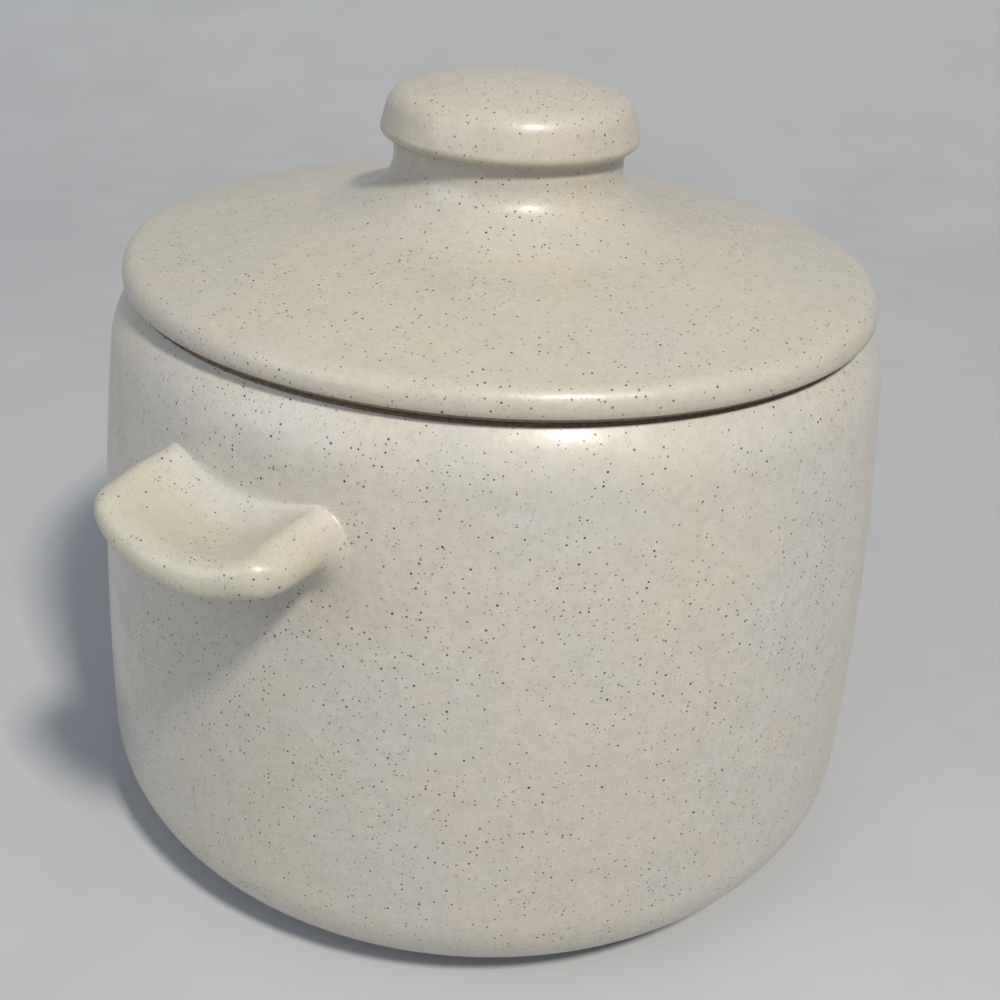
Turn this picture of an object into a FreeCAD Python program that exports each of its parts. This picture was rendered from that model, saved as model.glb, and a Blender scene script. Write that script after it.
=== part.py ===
import FreeCAD, Part
import math
import os
import re
from types import SimpleNamespace

import Sketcher

# A stoneware bean pot: a round-bottomed pot with two lug handles under a loose domed lid.
# Millimetres, +Z up, the origin on the resting plane under the middle of the foot.
# The lugs lie on the X axis. Each clay part is a body of its own. The lid only rests on
# the pot's flat rim, so it lifts straight off.

# Driving sizes: name, value, what it sets
SIZES = [
    ("belly_radius", 90, "largest radius of the pot, just above the base"),
    ("base_corner", 20, "radius of the turn from base to wall"),
    ("side_curve", 705, "radius of the slow inward lean of the wall"),
    ("shoulder_drop", 12.5, "how far below the rim the wall turns into the shoulder"),
    ("rim_inset", 13, "how far inside the belly radius the flat rim's outer edge lies"),
    ("rim_height", 126.4, "height of the flat rim that carries the lid"),
    ("rim_land", 5, "width of the flat rim"),
    ("rim_round", 1.2, "rounding of the rim's inner edge"),
    ("pot_wall", 6, "thickness of the wall"),
    ("pot_floor", 7, "thickness of the floor inside the foot ring"),
    ("cavity_corner", 16, "radius of the turn from floor to inner wall"),
    ("foot_inset", 26, "how far inside the belly radius the foot ring's outer side lies"),
    ("foot_width", 9, "width of the foot ring"),
    ("foot_step", 1.2, "height of the foot ring's outer side"),
    ("foot_recess", 2, "depth of the hollow inside the foot ring"),
    ("foot_round", 0.5, "rounding of the foot ring's edges"),
    ("lid_overhang", 3.5, "how far the lid reaches out past the rim"),
    ("lid_bevel", 0.8, "bevel of bare clay round the lid's lower edge"),
    ("lid_edge_round", 4, "rounding of the lid's outer edge"),
    ("dome_curve", 330, "radius of the lid's dome"),
    ("lid_side", 2.1, "height of the lid's upright side, bevel included"),
    ("lid_wall", 6, "thickness of the dome"),
    ("neck_radius", 24.3, "radius of the neck under the knob"),
    ("neck_turn", 7, "radius of the turn at the neck's foot"),
    ("neck_sweep", 32, "radius of the wide sweep from that turn out to the dome"),
    ("neck_slope", 40, "slope in degrees where the turn meets the sweep"),
    ("neck_rise", 0.8, "height of the lid's own part of the upright neck"),
    ("ring_clearance", 1.5, "gap between the locating ring and the mouth"),
    ("ring_wall", 6, "thickness of the locating ring"),
    ("ring_depth", 9, "how far the locating ring reaches into the pot"),
    ("ring_round", 2, "rounding of the locating ring's lower edges"),
    ("knob_neck", 2, "height of the knob's own part of the neck"),
    ("knob_lip", 2.9, "how far the knob's lip stands out past the neck"),
    ("lip_round", 1.6, "radius of the bead at the knob's lip"),
    ("knob_taper", 1, "how much the knob narrows above its lip"),
    ("knob_round", 5.5, "rounding of the knob's top edge"),
    ("knob_crown", 77, "radius of the knob's slightly domed top"),
    ("knob_height", 16.6, "height of the knob above the lid's part of the neck"),
    ("lug_projection", 16.5, "how far a lug reaches out past the belly"),
    ("lug_width", 43.4, "width of a lug"),
    ("lug_bow", 45, "radius of a lug's bowed outer edge, from above"),
    ("lug_corner", 7, "rounding of a lug's corners, from above"),
    ("lug_flare", 3, "radius of the flare where a lug's side meets the wall"),
    ("lug_drop", 23.4, "how far below the rim the foot of the thumb hollow lies"),
    ("lug_lip", 1.0, "how much the thumb hollow rises towards the outer edge"),
    ("lug_depth", 8, "thickness of a lug below the foot of its thumb hollow"),
    ("upper_blend", 5, "radius between the thumb hollow and the wall"),
    ("lower_blend", 8, "radius between a lug's underside and the wall"),
    ("upper_tilt", 57, "tilt in degrees that lifts the ends of the thumb hollow"),
    ("lower_tilt", 38, "tilt in degrees that lifts the ends of the underside"),
    ("lug_edge", 3.6, "rounding of a lug's rim"),
    ("lug_sink", 0.6, "how far inside the wall a lug's blends start"),
]

doc = FreeCAD.newDocument("bean_pot")
sheet = doc.addObject("Spreadsheet::Sheet", "Sizes")
for row, (alias, number, meaning) in enumerate(SIZES, start=1):
    sheet.set(f"A{row}", alias)
    sheet.set(f"B{row}", str(number))
    sheet.set(f"C{row}", meaning)
    sheet.setAlias(f"B{row}", alias)
doc.recompute()
size = SimpleNamespace(**{alias: float(sheet.get(alias)) for alias, number, meaning in SIZES})

# Places worked out from the driving sizes, as numbers and as the same sums for the sheet
size.rim_radius = size.belly_radius - size.rim_inset
size.foot_radius = size.belly_radius - size.foot_inset
size.shoulder_height = size.rim_height - size.shoulder_drop
size.lug_top = size.rim_height - size.lug_drop
size.lid_radius = size.rim_radius + size.lid_overhang
size.dome_base = size.rim_height + size.lid_side - math.sqrt(
    (size.dome_curve - size.lid_edge_round) ** 2 - (size.lid_radius - size.lid_edge_round) ** 2)
neck_lean = math.radians(size.neck_slope)
size.sweep_reach = size.neck_radius + size.neck_turn \
    + (size.neck_sweep - size.neck_turn) * math.sin(neck_lean)
size.sweep_height = size.dome_base + math.sqrt(
    (size.dome_curve + size.neck_sweep) ** 2 - size.sweep_reach ** 2)
size.neck_foot = size.sweep_height - (size.neck_sweep - size.neck_turn) * math.cos(neck_lean)
size.neck_top = size.neck_foot + size.neck_rise
SUMS = {
    "neck_top": "(neck_foot + neck_rise)",
    "neck_foot": "(sweep_height - (neck_sweep - neck_turn) * cos(neck_slope))",
    "sweep_height": "(dome_base + sqrt((dome_curve + neck_sweep) ^ 2 - sweep_reach ^ 2))",
    "sweep_reach": "(neck_radius + neck_turn + (neck_sweep - neck_turn) * sin(neck_slope))",
    "dome_base": "(rim_height + lid_side - sqrt((dome_curve - lid_edge_round) ^ 2"
                 " - (lid_radius - lid_edge_round) ^ 2))",
    "lid_radius": "(rim_radius + lid_overhang)",
    "rim_radius": "(belly_radius - rim_inset)",
    "foot_radius": "(belly_radius - foot_inset)",
    "shoulder_height": "(rim_height - shoulder_drop)",
    "lug_top": "(rim_height - lug_drop)",
}


def cells(text):
    """An expression whose size names are read from the sheet."""
    for name, total in SUMS.items():
        text = re.sub(rf"\b{name}\b", total, text)
    return re.sub(r"[a-z]+_[a-z_]+", lambda name: "Sizes." + name.group(), text)


def new_body(name):
    body = doc.addObject("PartDesign::Body", name)
    body.Label = name
    return body


def new_sketch(body, name, plane, offset=None):
    """A sketch on one of the body's own origin planes, moved along the plane's normal."""
    sketch = body.newObject("Sketcher::SketchObject", name)
    support = [item for item in body.Origin.OriginFeatures if item.Role == plane][0]
    sketch.AttachmentSupport = [(support, "")]
    sketch.MapMode = "FlatFace"
    if offset:
        sketch.setExpression("AttachmentOffset.Base.z", cells(offset))
    return sketch


def line(start, end):
    return Part.LineSegment(FreeCAD.Vector(*start, 0), FreeCAD.Vector(*end, 0))


def arc(centre, radius, first, last):
    """An arc that runs counter-clockwise between two angles in degrees."""
    circle = Part.Circle(FreeCAD.Vector(*centre, 0), FreeCAD.Vector(0, 0, 1), radius)
    return Part.ArcOfCircle(circle, math.radians(first), math.radians(last))


def direction(start, end):
    """The angle in degrees of the way from one point to another."""
    return math.degrees(math.atan2(end[1] - start[1], end[0] - start[0]))


def on_circle(centre, radius, angle):
    turn = math.radians(angle)
    return centre[0] + radius * math.cos(turn), centre[1] + radius * math.sin(turn)


def leg(long_side, short_side):
    """The other short side of a right-angled triangle."""
    return math.sqrt(long_side ** 2 - short_side ** 2)


def draw(sketch, pieces, smooth):
    """Add a closed chain of lines and arcs. The joints numbered in smooth are tangent."""
    for piece in pieces:
        sketch.addGeometry(piece, False)
    for here in range(len(pieces)):
        there = (here + 1) % len(pieces)
        ends = [(sketch.getPoint(here, a).distanceToPoint(sketch.getPoint(there, b)), a, b)
                for a in (1, 2) for b in (1, 2)]
        gap, a, b = min(ends)
        kind = "Tangent" if here in smooth else "Coincident"
        rule(sketch, kind, here, a, there, b)


def rule(sketch, kind, *references):
    sketch.addConstraint(Sketcher.Constraint(kind, *references))


def bind(sketch, kind, references, number, text):
    """A dimension that starts at its drawn value and follows the sheet."""
    index = sketch.addConstraint(Sketcher.Constraint(kind, *references, number))
    sketch.setExpression(f"Constraints[{index}]", cells(text))


def across(sketch, piece, end, text):
    bind(sketch, "DistanceX", (-1, 1, piece, end), sketch.getPoint(piece, end).x, text)


def up(sketch, piece, end, text):
    bind(sketch, "DistanceY", (-1, 1, piece, end), sketch.getPoint(piece, end).y, text)


def radius(sketch, piece, text):
    bind(sketch, "Radius", (piece,), sketch.Geometry[piece].Radius, text)


def level(sketch, *pieces):
    for piece in pieces:
        rule(sketch, "Horizontal", piece)


def upright(sketch, *pieces):
    for piece in pieces:
        rule(sketch, "Vertical", piece)


def on_axis(sketch, piece, end):
    rule(sketch, "PointOnObject", piece, end, -2)


def turn(body, sketch, kind="PartDesign::Revolution", axis="V_Axis", angle=360):
    """Revolve or groove a sketch, and make sure that the solid changed."""
    before = body.Shape.Volume if body.Tip else 0
    feature = body.newObject(kind, sketch.Name + "_turned")
    feature.Profile = sketch
    feature.ReferenceAxis = (sketch, [axis])
    feature.Angle = angle
    feature.Midplane = angle < 360
    sketch.Visibility = False
    doc.recompute()
    if abs(body.Shape.Volume - before) < 1:
        raise RuntimeError(f"{feature.Name} changes nothing")
    return feature


def round_edges(body, chosen, text):
    """Round the edges of the body's last feature that a test picks."""
    base = body.Tip
    names = [f"Edge{i}" for i, edge in enumerate(base.Shape.Edges, start=1) if chosen(edge)]
    feature = body.newObject("PartDesign::Fillet", base.Name + "_round")
    feature.Base = (base, names)
    feature.setExpression("Radius", cells(text))
    doc.recompute()


# How closely, as a share, a measured edge has to match the place it is looked for at
CLOSE = 1e-5


def is_ring(edge, ring_radius, height):
    """Whether an edge is the circle of this radius about the Z axis at this height."""
    box = edge.BoundBox
    return math.isclose(box.XMax, ring_radius, rel_tol=CLOSE) \
        and math.isclose(box.YMax, ring_radius, rel_tol=CLOSE) \
        and math.isclose(box.ZMin, height, rel_tol=CLOSE, abs_tol=CLOSE) \
        and math.isclose(box.ZMax, height, rel_tol=CLOSE, abs_tol=CLOSE)


# The outer wall is three tangent arcs: base corner, leaning side, and a shoulder that ends
# at the rim's outer edge.
corner_centre = (size.belly_radius - size.base_corner, size.foot_step + size.base_corner)
side_centre = (size.belly_radius - size.side_curve, corner_centre[1])
side_end = math.degrees(math.asin((size.shoulder_height - side_centre[1]) / size.side_curve))
shoulder_start = on_circle(side_centre, size.side_curve, side_end)
rim_edge = (size.rim_radius, size.rim_height)
to_rim = (shoulder_start[0] - rim_edge[0], shoulder_start[1] - rim_edge[1])
outward = on_circle((0, 0), 1, side_end)
shoulder_curve = math.hypot(*to_rim) ** 2 / 2 / (to_rim[0] * outward[0] + to_rim[1] * outward[1])
shoulder_centre = on_circle(shoulder_start, -shoulder_curve, side_end)


def outer_wall():
    """The foot's outer side, the base and the three arcs of the wall."""
    foot_top = (size.foot_radius, size.foot_step)
    return [
        line((size.foot_radius, 0), foot_top),
        line(foot_top, (corner_centre[0], size.foot_step)),
        arc(corner_centre, size.base_corner, -90, 0),
        arc(side_centre, size.side_curve, 0, side_end),
        arc(shoulder_centre, shoulder_curve, side_end, direction(shoulder_centre, rim_edge)),
    ]


def set_outer_wall(sketch):
    """Size the outer wall, which is the sketch's first five pieces."""
    foot_side, base, corner, side, shoulder = range(5)
    upright(sketch, foot_side)
    level(sketch, base)
    rule(sketch, "Horizontal", corner, 3, corner, 2)
    up(sketch, foot_side, 1, "0")
    across(sketch, foot_side, 2, "foot_radius")
    up(sketch, foot_side, 2, "foot_step")
    radius(sketch, corner, "base_corner")
    across(sketch, corner, 2, "belly_radius")
    radius(sketch, side, "side_curve")
    up(sketch, side, 2, "shoulder_height")
    across(sketch, shoulder, 2, "rim_radius")
    up(sketch, shoulder, 2, "rim_height")


def make_pot():
    """The pot as one turned wall: foot ring, base, side, shoulder, rim and inside."""
    body = new_body("pot_body")
    sketch = new_sketch(body, "pot_profile", "XZ_Plane")
    mouth = size.rim_radius - size.rim_land
    foot_inner = size.foot_radius - size.foot_width
    floor_top = size.foot_recess + size.pot_floor
    side_in_curve = size.side_curve - size.pot_wall
    shoulder_in_curve = shoulder_curve - size.pot_wall
    mouth_angle = math.degrees(math.acos((mouth - shoulder_centre[0]) / shoulder_in_curve))
    mouth_foot = on_circle(shoulder_centre, shoulder_in_curve, mouth_angle)
    corner_reach = side_in_curve - size.cavity_corner
    corner_rise = floor_top + size.cavity_corner - side_centre[1]
    corner_angle = math.degrees(math.asin(corner_rise / corner_reach))
    corner_in_centre = on_circle(side_centre, corner_reach, corner_angle)
    draw(sketch, outer_wall() + [
        line(rim_edge, (mouth, size.rim_height)),
        line((mouth, size.rim_height), mouth_foot),
        arc(shoulder_centre, shoulder_in_curve, side_end, mouth_angle),
        arc(side_centre, side_in_curve, corner_angle, side_end),
        arc(corner_in_centre, size.cavity_corner, -90, corner_angle),
        line((corner_in_centre[0], floor_top), (0, floor_top)),
        line((0, floor_top), (0, size.foot_recess)),
        line((0, size.foot_recess), (foot_inner, size.foot_recess)),
        line((foot_inner, size.foot_recess), (foot_inner, 0)),
        line((foot_inner, 0), (size.foot_radius, 0)),
    ], smooth={1, 2, 3, 7, 8, 9})
    set_outer_wall(sketch)
    (foot_side, base, corner, side, shoulder, rim, mouth_wall, shoulder_in, side_in, corner_in,
     floor, axis, recess, ring_side, ring_face) = range(15)
    level(sketch, rim, floor, recess, ring_face)
    upright(sketch, mouth_wall, axis, ring_side)
    across(sketch, rim, 2, "rim_radius - rim_land")
    rule(sketch, "Coincident", shoulder_in, 3, shoulder, 3)
    rule(sketch, "Coincident", side_in, 3, side, 3)
    radius(sketch, side_in, "side_curve - pot_wall")
    radius(sketch, corner_in, "cavity_corner")
    up(sketch, floor, 1, "foot_recess + pot_floor")
    on_axis(sketch, axis, 2)
    up(sketch, axis, 2, "foot_recess")
    across(sketch, ring_side, 2, "foot_radius - foot_width")
    turn(body, sketch)
    round_edges(body, lambda edge: is_ring(edge, mouth, size.rim_height), "rim_round")
    round_edges(body, lambda edge: is_ring(edge, size.foot_radius, 0) or is_ring(edge, foot_inner, 0),
                "foot_round")
    return body


def wall_radius(height):
    """The pot's outer radius at a height on its leaning side."""
    return side_centre[0] + leg(size.side_curve, height - side_centre[1])


def wall_expression(height):
    rise = f"({height} - foot_step - base_corner)"
    return f"(belly_radius - side_curve + sqrt(side_curve ^ 2 - {rise} ^ 2))"


LUG_CEILING = "(lug_top + upper_blend)"
LUG_FLOOR = "(lug_top - lug_depth - lower_blend)"
LUG_REACH = "(belly_radius + lug_projection)"


def make_lug_plate(body):
    """The lug's outline from above, from the pot's axis out to the bowed edge."""
    name = body.Name
    ceiling = size.lug_top + size.upper_blend
    half = size.lug_width / 2
    flare_y = half + size.lug_flare
    flare_x = size.lug_flare + leg(wall_radius(ceiling) - size.lug_sink, flare_y)
    bow_centre = (size.belly_radius + size.lug_projection - size.lug_bow, 0)
    corner_reach = size.lug_bow - size.lug_corner
    tilt = math.degrees(math.asin((half - size.lug_corner) / corner_reach))
    corner = on_circle(bow_centre, corner_reach, tilt)
    plan = new_sketch(body, name + "_plan", "XY_Plane", LUG_FLOOR)
    start_x = flare_x - size.lug_flare
    draw(plan, [
        line((0, -flare_y), (start_x, -flare_y)),
        arc((flare_x, -flare_y), size.lug_flare, 90, 180),
        line((flare_x, -half), (corner[0], -half)),
        arc((corner[0], -corner[1]), size.lug_corner, -90, -tilt),
        arc(bow_centre, size.lug_bow, -tilt, tilt),
        arc(corner, size.lug_corner, tilt, 90),
        line((corner[0], half), (flare_x, half)),
        arc((flare_x, flare_y), size.lug_flare, 180, 270),
        line((start_x, flare_y), (0, flare_y)),
        line((0, flare_y), (0, -flare_y)),
    ], smooth={1, 2, 3, 4, 5, 6})
    (near_root, near_flare, near_side, near_corner, bow, far_corner, far_side, far_flare,
     far_root, axis) = range(10)
    level(plan, near_root, near_side, far_side, far_root)
    upright(plan, axis)
    on_axis(plan, axis, 1)
    rule(plan, "PointOnObject", bow, 3, -1)
    rule(plan, "Horizontal", near_flare, 3, near_flare, 2)
    rule(plan, "Horizontal", far_flare, 3, far_flare, 1)
    root = wall_expression(LUG_CEILING)
    flare_text = f"lug_flare + sqrt(({root} - lug_sink) ^ 2 - (lug_width / 2 + lug_flare) ^ 2)"
    for flare, sign in ((near_flare, "-"), (far_flare, "")):
        radius(plan, flare, "lug_flare")
        across(plan, flare, 3, flare_text)
        up(plan, flare, 3, f"{sign}(lug_width / 2 + lug_flare)")
    for corner_arc in (near_corner, far_corner):
        radius(plan, corner_arc, "lug_corner")
    radius(plan, bow, "lug_bow")
    across(plan, bow, 3, f"{LUG_REACH} - lug_bow")
    plate = body.newObject("PartDesign::Pad", name + "_plate")
    plate.Profile = plan
    plate.setExpression("Length", cells("lug_depth + lower_blend + upper_blend"))
    plan.Visibility = False
    doc.recompute()


def cut_lug_face(body, name, face, blend, upper):
    """Groove one face of a lug, with its blend into the wall. The groove turns about a line
    that leans out from the pot's axis, so that it follows the wall and its ends rise."""
    sign = 1 if upper else -1
    face_z, face_text = face
    blend_size, tilt_name = size.__dict__[blend], "upper_tilt" if upper else "lower_tilt"
    edge_z = face_z + size.lug_lip
    limit = face_z + sign * blend_size
    beyond = limit + sign * blend_size
    limit_text = f"({face_text} {'+' if upper else '-'} {blend})"
    start_x = wall_radius(limit) - size.lug_sink
    reach = size.belly_radius + size.lug_projection
    lean = math.radians(size.__dict__[tilt_name])
    sketch = new_sketch(body, body.Name + "_" + name, "XZ_Plane")
    first, last = (180, 270) if upper else (90, 180)
    draw(sketch, [
        line((start_x, beyond), (start_x, limit)),
        arc((start_x + blend_size, limit), blend_size, first, last),
        line((start_x + blend_size, face_z), (reach, edge_z)),
        line((reach, edge_z), (reach, beyond)),
        line((reach, beyond), (start_x, beyond)),
    ], smooth={0})
    inner, blend_arc, sole, outer, lid = range(5)
    upright(sketch, inner, outer)
    level(sketch, lid)
    rule(sketch, "Vertical", blend_arc, 3, sole, 1)
    radius(sketch, blend_arc, blend)
    across(sketch, blend_arc, 3, f"{wall_expression(limit_text)} - lug_sink + {blend}")
    up(sketch, sole, 1, face_text)
    across(sketch, sole, 2, LUG_REACH)
    up(sketch, sole, 2, f"{face_text} + lug_lip")
    up(sketch, lid, 1, f"{limit_text} {'+' if upper else '-'} {blend}")
    foot = (0, face_z)
    length = size.belly_radius
    axis = sketch.addGeometry(line(foot, on_circle(foot, length, 90 - math.degrees(lean))), True)
    on_axis(sketch, axis, 1)
    up(sketch, axis, 1, face_text)
    bind(sketch, "Distance", (axis,), length, "belly_radius")
    bind(sketch, "Angle", (-1, 1, axis, 1), math.pi / 2 - lean, f"90 - {tilt_name}")
    turn(body, sketch, "PartDesign::Groove", "Axis0", 120)


def make_lug(name, bearing):
    """A lug handle: a bowed plate, hollowed for the thumb above, blended into the wall and
    seated on it. It is drawn on the +X side and turned about Z to its bearing."""
    body = new_body(name)
    make_lug_plate(body)
    underside = (size.lug_top - size.lug_depth, "(lug_top - lug_depth)")
    cut_lug_face(body, "hollow", (size.lug_top, "lug_top"), "upper_blend", True)
    cut_lug_face(body, "underside", underside, "lower_blend", False)
    reach = size.belly_radius + size.lug_projection
    round_edges(body, lambda edge: edge.BoundBox.XMax > reach * (1 - CLOSE), "lug_edge")
    seat = new_sketch(body, name + "_seat", "XZ_Plane")
    draw(seat, outer_wall() + [
        line(rim_edge, (0, size.rim_height)),
        line((0, size.rim_height), (0, 0)),
        line((0, 0), (size.foot_radius, 0)),
    ], smooth={1, 2, 3})
    set_outer_wall(seat)
    foot_side, base, corner, side, shoulder, top, axis, bottom = range(8)
    level(seat, top, bottom)
    upright(seat, axis)
    on_axis(seat, axis, 1)
    turn(body, seat, "PartDesign::Groove")
    spin = FreeCAD.Rotation(FreeCAD.Vector(0, 0, 1), bearing)
    body.Placement = FreeCAD.Placement(FreeCAD.Vector(), spin)
    return body


RING_OUTER = "(rim_radius - rim_land - ring_clearance)"


def make_lid():
    """The lid's domed shell, with a bevelled edge and the flare into the neck."""
    body = new_body("lid")
    sketch = new_sketch(body, "lid_profile", "XZ_Plane")
    seat = size.rim_height
    edge = size.lid_radius
    ring_inner = size.rim_radius - size.rim_land - size.ring_clearance - size.ring_wall
    dome_centre = (0, size.dome_base)
    edge_centre = (edge - size.lid_edge_round, seat + size.lid_side)
    edge_angle = direction(dome_centre, edge_centre)
    sweep_centre = (size.sweep_reach, size.sweep_height)
    sweep_angle = direction(dome_centre, sweep_centre)
    turn_centre = (size.neck_radius + size.neck_turn, size.neck_foot)
    inner_curve = size.dome_curve - size.lid_wall
    inner_foot = (ring_inner, dome_centre[1] + leg(inner_curve, ring_inner))
    draw(sketch, [
        line((ring_inner, seat), (edge - size.lid_bevel, seat)),
        line((edge - size.lid_bevel, seat), (edge, seat + size.lid_bevel)),
        line((edge, seat + size.lid_bevel), (edge, seat + size.lid_side)),
        arc(edge_centre, size.lid_edge_round, 0, edge_angle),
        arc(dome_centre, size.dome_curve, edge_angle, sweep_angle),
        arc(sweep_centre, size.neck_sweep, 270 - size.neck_slope, sweep_angle + 180),
        arc(turn_centre, size.neck_turn, 180, 270 - size.neck_slope),
        line((size.neck_radius, size.neck_foot), (size.neck_radius, size.neck_top)),
        line((size.neck_radius, size.neck_top), (0, size.neck_top)),
        line((0, size.neck_top), (0, dome_centre[1] + inner_curve)),
        arc(dome_centre, inner_curve, direction(dome_centre, inner_foot), 90),
        line(inner_foot, (ring_inner, seat)),
    ], smooth={2, 3, 4, 5, 6})
    (sole, bevel, side, edge_arc, dome, sweep, neck_arc, neck, top, axis, inner_dome,
     ring_step) = range(12)
    level(sketch, sole, top)
    upright(sketch, side, neck, axis, ring_step)
    across(sketch, sole, 1, f"{RING_OUTER} - ring_wall")
    up(sketch, sole, 1, "rim_height")
    across(sketch, bevel, 1, "lid_radius - lid_bevel")
    across(sketch, bevel, 2, "lid_radius")
    up(sketch, bevel, 2, "rim_height + lid_bevel")
    radius(sketch, edge_arc, "lid_edge_round")
    on_axis(sketch, dome, 3)
    up(sketch, side, 2, "rim_height + lid_side")
    radius(sketch, dome, "dome_curve")
    radius(sketch, sweep, "neck_sweep")
    across(sketch, sweep, 3, "sweep_reach")
    radius(sketch, neck_arc, "neck_turn")
    across(sketch, neck, 1, "neck_radius")
    up(sketch, neck, 2, "neck_top")
    on_axis(sketch, axis, 1)
    rule(sketch, "Coincident", inner_dome, 3, dome, 3)
    radius(sketch, inner_dome, "dome_curve - lid_wall")
    turn(body, sketch)
    return body


def make_knob():
    """The knob: its part of the neck, an undercut lip and a broad, slightly domed top."""
    body = new_body("lid_knob")
    sketch = new_sketch(body, "knob_profile", "XZ_Plane")
    base = size.neck_top
    neck = size.neck_radius
    undercut = size.knob_lip - size.lip_round
    neck_end = base + size.knob_neck
    bead = (neck + undercut, neck_end + undercut + size.lip_round)
    crown_centre = (0, base + size.knob_height - size.knob_crown)
    round_x = neck + size.knob_lip - size.knob_taper - size.knob_round
    round_centre = (round_x, crown_centre[1] + leg(size.knob_crown - size.knob_round, round_x))
    spread = math.hypot(round_centre[0] - bead[0], round_centre[1] - bead[1])
    belt = math.degrees(math.acos((size.lip_round - size.knob_round) / spread))
    side_angle = direction(bead, round_centre) - belt
    crown_angle = direction(crown_centre, round_centre)
    draw(sketch, [
        line((0, base), (neck, base)),
        line((neck, base), (neck, neck_end)),
        arc((neck + undercut, neck_end), undercut, 90, 180),
        arc(bead, size.lip_round, -90, side_angle),
        line(on_circle(bead, size.lip_round, side_angle),
             on_circle(round_centre, size.knob_round, side_angle)),
        arc(round_centre, size.knob_round, side_angle, crown_angle),
        arc(crown_centre, size.knob_crown, crown_angle, 90),
        line((0, base + size.knob_height), (0, base)),
    ], smooth={1, 2, 3, 4, 5})
    sole, neck_side, under, lip, side, top_edge, crown, axis = range(8)
    level(sketch, sole)
    upright(sketch, neck_side, axis)
    on_axis(sketch, axis, 1)
    across(sketch, neck_side, 1, "neck_radius")
    up(sketch, neck_side, 1, "neck_top")
    up(sketch, neck_side, 2, "neck_top + knob_neck")
    rule(sketch, "Vertical", under, 3, lip, 3)
    radius(sketch, lip, "lip_round")
    across(sketch, lip, 3, "neck_radius + knob_lip - lip_round")
    radius(sketch, top_edge, "knob_round")
    across(sketch, top_edge, 3, "neck_radius + knob_lip - knob_taper - knob_round")
    radius(sketch, crown, "knob_crown")
    on_axis(sketch, crown, 3)
    up(sketch, crown, 3, "neck_top + knob_height - knob_crown")
    turn(body, sketch)
    return body


def make_ring():
    """The ring under the lid that keeps it centred in the mouth."""
    body = new_body("lid_locating_ring")
    plan = new_sketch(body, "ring_plan", "XY_Plane", "rim_height - ring_depth")
    outer = size.rim_radius - size.rim_land - size.ring_clearance
    inner = outer - size.ring_wall
    bottom = size.rim_height - size.ring_depth
    circles = ((outer, RING_OUTER), (inner, f"{RING_OUTER} - ring_wall"))
    for piece, (reach, text) in enumerate(circles):
        plan.addGeometry(Part.Circle(FreeCAD.Vector(), FreeCAD.Vector(0, 0, 1), reach), False)
        rule(plan, "Coincident", piece, 3, -1, 1)
        radius(plan, piece, text)
    ring = body.newObject("PartDesign::Pad", "ring_wall_pad")
    ring.Profile = plan
    ring.setExpression("Length", cells("ring_depth"))
    plan.Visibility = False
    doc.recompute()
    round_edges(body, lambda edge: is_ring(edge, outer, bottom) or is_ring(edge, inner, bottom),
                "ring_round")
    return body


bodies = [make_pot(), make_lug("left_handle", 180), make_lug("right_handle", 0),
          make_lid(), make_knob(), make_ring()]
doc.recompute()

failed = [item.Name for item in doc.Objects if {"Invalid", "Error"} & set(item.State)]
failed += [body.Label for body in bodies if body.Shape.isNull() or not body.Shape.isValid()]
failed += [body.Label for body in bodies if len(body.Shape.Solids) != 1]
if failed:
    raise RuntimeError("these did not build: " + ", ".join(failed))

os.makedirs("parts", exist_ok=True)
for body in bodies:
    body.Shape.exportStep(f"parts/{body.Label}.step")
    box = body.Shape.BoundBox
    print(f"{body.Label}: {body.Shape.Volume / 1000:.1f} cm3, x {box.XMin:.2f} to {box.XMax:.2f}, "
          f"y {box.YMin:.2f} to {box.YMax:.2f}, z {box.ZMin:.2f} to {box.ZMax:.2f}")
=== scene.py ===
import math

import bpy
from mathutils import Matrix, Vector


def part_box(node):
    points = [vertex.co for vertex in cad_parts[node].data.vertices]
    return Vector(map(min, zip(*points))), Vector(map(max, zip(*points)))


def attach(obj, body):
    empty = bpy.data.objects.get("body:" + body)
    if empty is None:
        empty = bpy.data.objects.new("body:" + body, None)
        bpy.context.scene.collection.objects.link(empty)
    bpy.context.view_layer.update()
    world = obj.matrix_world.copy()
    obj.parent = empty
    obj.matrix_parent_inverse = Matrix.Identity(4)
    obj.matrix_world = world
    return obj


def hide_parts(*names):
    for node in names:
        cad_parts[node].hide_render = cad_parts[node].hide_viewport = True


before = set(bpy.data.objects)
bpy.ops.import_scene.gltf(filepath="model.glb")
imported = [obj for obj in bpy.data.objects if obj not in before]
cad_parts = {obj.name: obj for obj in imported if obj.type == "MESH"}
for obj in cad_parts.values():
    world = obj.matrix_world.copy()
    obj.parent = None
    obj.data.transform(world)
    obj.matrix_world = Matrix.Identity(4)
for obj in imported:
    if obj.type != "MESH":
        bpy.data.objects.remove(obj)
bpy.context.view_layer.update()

# A stoneware bean pot in two fired pieces: the pot with its two lug handles, and the lid
# with its knob and locating ring. Each is one seamless glazed skin over the CAD nodes that
# it stands for. Metres, +Z up, the lugs on the X axis.

MM = 0.001

# Sizes that the CAD nodes' own boxes give
pot_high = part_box("pot_body")[1]
knob_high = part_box("lid_knob")[1]
BELLY_RADIUS = pot_high[1]
RIM_HEIGHT = pot_high[2]
KNOB_RADIUS = knob_high[0]
KNOB_TOP = knob_high[2]
RING_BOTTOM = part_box("lid_locating_ring")[0][2]
LUG_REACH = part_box("right_handle")[1][0]

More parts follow.
